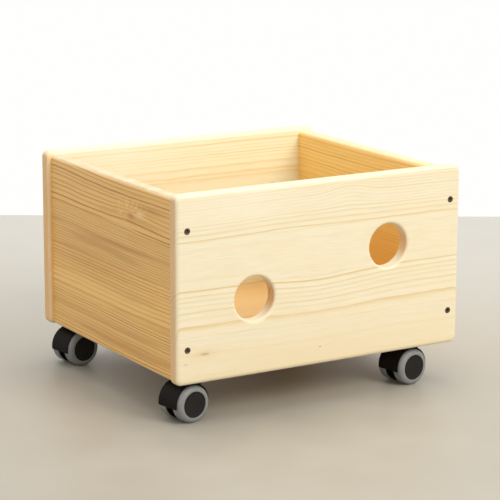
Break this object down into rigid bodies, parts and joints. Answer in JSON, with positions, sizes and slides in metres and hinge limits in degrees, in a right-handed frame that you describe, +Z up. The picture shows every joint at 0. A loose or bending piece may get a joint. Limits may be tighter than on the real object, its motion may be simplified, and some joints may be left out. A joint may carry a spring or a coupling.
{
  "type": "wooden toy box",
  "caption": "Open pine toy box with rounded edges and staggered round hand holes, on twin-wheel swivel casters.",
  "frame": {"origin": "on the floor, under the middle of the box", "axes": "+X along the front panel to its right end, +Y from the front panel to the back panel, +Z up"},
  "size_m": [0.445, 0.39, 0.3055],
  "materials": {
    "pale_pine": "planed pine, clear satin lacquer",
    "tan_pine": "knotty pine, clear satin lacquer",
    "pine_board": "thin pine board, clear lacquer",
    "dark_steel": "black phosphated steel",
    "zinc_steel": "zinc-plated steel",
    "black_plastic": "moulded nylon, fine texture",
    "grey_tread": "soft polyurethane"
  },
  "bodies": {
    "box": {"front_panel": "pale_pine", "back_panel": "pale_pine", "left_side": "tan_pine", "right_side": "tan_pine", "bottom_board": "pine_board", "front_screws": "dark_steel", "back_screws": "dark_steel", "caster_screws": "zinc_steel", "caster_plate_front_left": "zinc_steel", "swivel_pin_front_left": "zinc_steel", "caster_plate_front_right": "zinc_steel", "swivel_pin_front_right": "zinc_steel", "caster_plate_back_left": "zinc_steel", "swivel_pin_back_left": "zinc_steel", "caster_plate_back_right": "zinc_steel", "swivel_pin_back_right": "zinc_steel"},
    "hood_front_left": {"caster_hood_front_left": "black_plastic", "axle_front_left": "zinc_steel"},
    "wheel_a_front_left": {"rim_a_front_left": "black_plastic", "tread_a_front_left": "grey_tread", "cap_a_front_left": "black_plastic"},
    "wheel_b_front_left": {"rim_b_front_left": "black_plastic", "tread_b_front_left": "grey_tread", "cap_b_front_left": "black_plastic"},
    "hood_front_right": {"caster_hood_front_right": "black_plastic", "axle_front_right": "zinc_steel"},
    "wheel_a_front_right": {"rim_a_front_right": "black_plastic", "tread_a_front_right": "grey_tread", "cap_a_front_right": "black_plastic"},
    "wheel_b_front_right": {"rim_b_front_right": "black_plastic", "tread_b_front_right": "grey_tread", "cap_b_front_right": "black_plastic"},
    "hood_back_left": {"caster_hood_back_left": "black_plastic", "axle_back_left": "zinc_steel"},
    "wheel_a_back_left": {"rim_a_back_left": "black_plastic", "tread_a_back_left": "grey_tread", "cap_a_back_left": "black_plastic"},
    "wheel_b_back_left": {"rim_b_back_left": "black_plastic", "tread_b_back_left": "grey_tread", "cap_b_back_left": "black_plastic"},
    "hood_back_right": {"caster_hood_back_right": "black_plastic", "axle_back_right": "zinc_steel"},
    "wheel_a_back_right": {"rim_a_back_right": "black_plastic", "tread_a_back_right": "grey_tread", "cap_a_back_right": "black_plastic"},
    "wheel_b_back_right": {"rim_b_back_right": "black_plastic", "tread_b_back_right": "grey_tread", "cap_b_back_right": "black_plastic"}
  },
  "joints": [
    {"name": "swivel_front_left", "type": "hinge", "parent": "box", "child": "hood_front_left", "pos_m": [-0.174, -0.158, 0.055], "axis": [0, 0, 1], "continuous": true},
    {"name": "wheel_a_spin_front_left", "type": "hinge", "parent": "hood_front_left", "child": "wheel_a_front_left", "pos_m": [-0.19281, -0.16064, 0.025], "axis": [0.1392, -0.9903, 0], "continuous": true},
    {"name": "wheel_b_spin_front_left", "type": "hinge", "parent": "hood_front_left", "child": "wheel_b_front_left", "pos_m": [-0.19281, -0.16064, 0.025], "axis": [0.1392, -0.9903, 0], "continuous": true},
    {"name": "swivel_front_right", "type": "hinge", "parent": "box", "child": "hood_front_right", "pos_m": [0.174, -0.158, 0.055], "axis": [0, 0, 1], "continuous": true},
    {"name": "wheel_a_spin_front_right", "type": "hinge", "parent": "hood_front_right", "child": "wheel_a_front_right", "pos_m": [0.15518, -0.16064, 0.025], "axis": [0.1392, -0.9903, 0], "continuous": true},
    {"name": "wheel_b_spin_front_right", "type": "hinge", "parent": "hood_front_right", "child": "wheel_b_front_right", "pos_m": [0.15518, -0.16064, 0.025], "axis": [0.1392, -0.9903, 0], "continuous": true},
    {"name": "swivel_back_left", "type": "hinge", "parent": "box", "child": "hood_back_left", "pos_m": [-0.174, 0.158, 0.055], "axis": [0, 0, 1], "continuous": true},
    {"name": "wheel_a_spin_back_left", "type": "hinge", "parent": "hood_back_left", "child": "wheel_a_back_left", "pos_m": [-0.19281, 0.15536, 0.025], "axis": [0.1392, -0.9903, 0], "continuous": true},
    {"name": "wheel_b_spin_back_left", "type": "hinge", "parent": "hood_back_left", "child": "wheel_b_back_left", "pos_m": [-0.19281, 0.15536, 0.025], "axis": [0.1392, -0.9903, 0], "continuous": true},
    {"name": "swivel_back_right", "type": "hinge", "parent": "box", "child": "hood_back_right", "pos_m": [0.174, 0.158, 0.055], "axis": [0, 0, 1], "continuous": true},
    {"name": "wheel_a_spin_back_right", "type": "hinge", "parent": "hood_back_right", "child": "wheel_a_back_right", "pos_m": [0.15518, 0.15536, 0.025], "axis": [0.1392, -0.9903, 0], "continuous": true},
    {"name": "wheel_b_spin_back_right", "type": "hinge", "parent": "hood_back_right", "child": "wheel_b_back_right", "pos_m": [0.15518, 0.15536, 0.025], "axis": [0.1392, -0.9903, 0], "continuous": true}
  ]
}
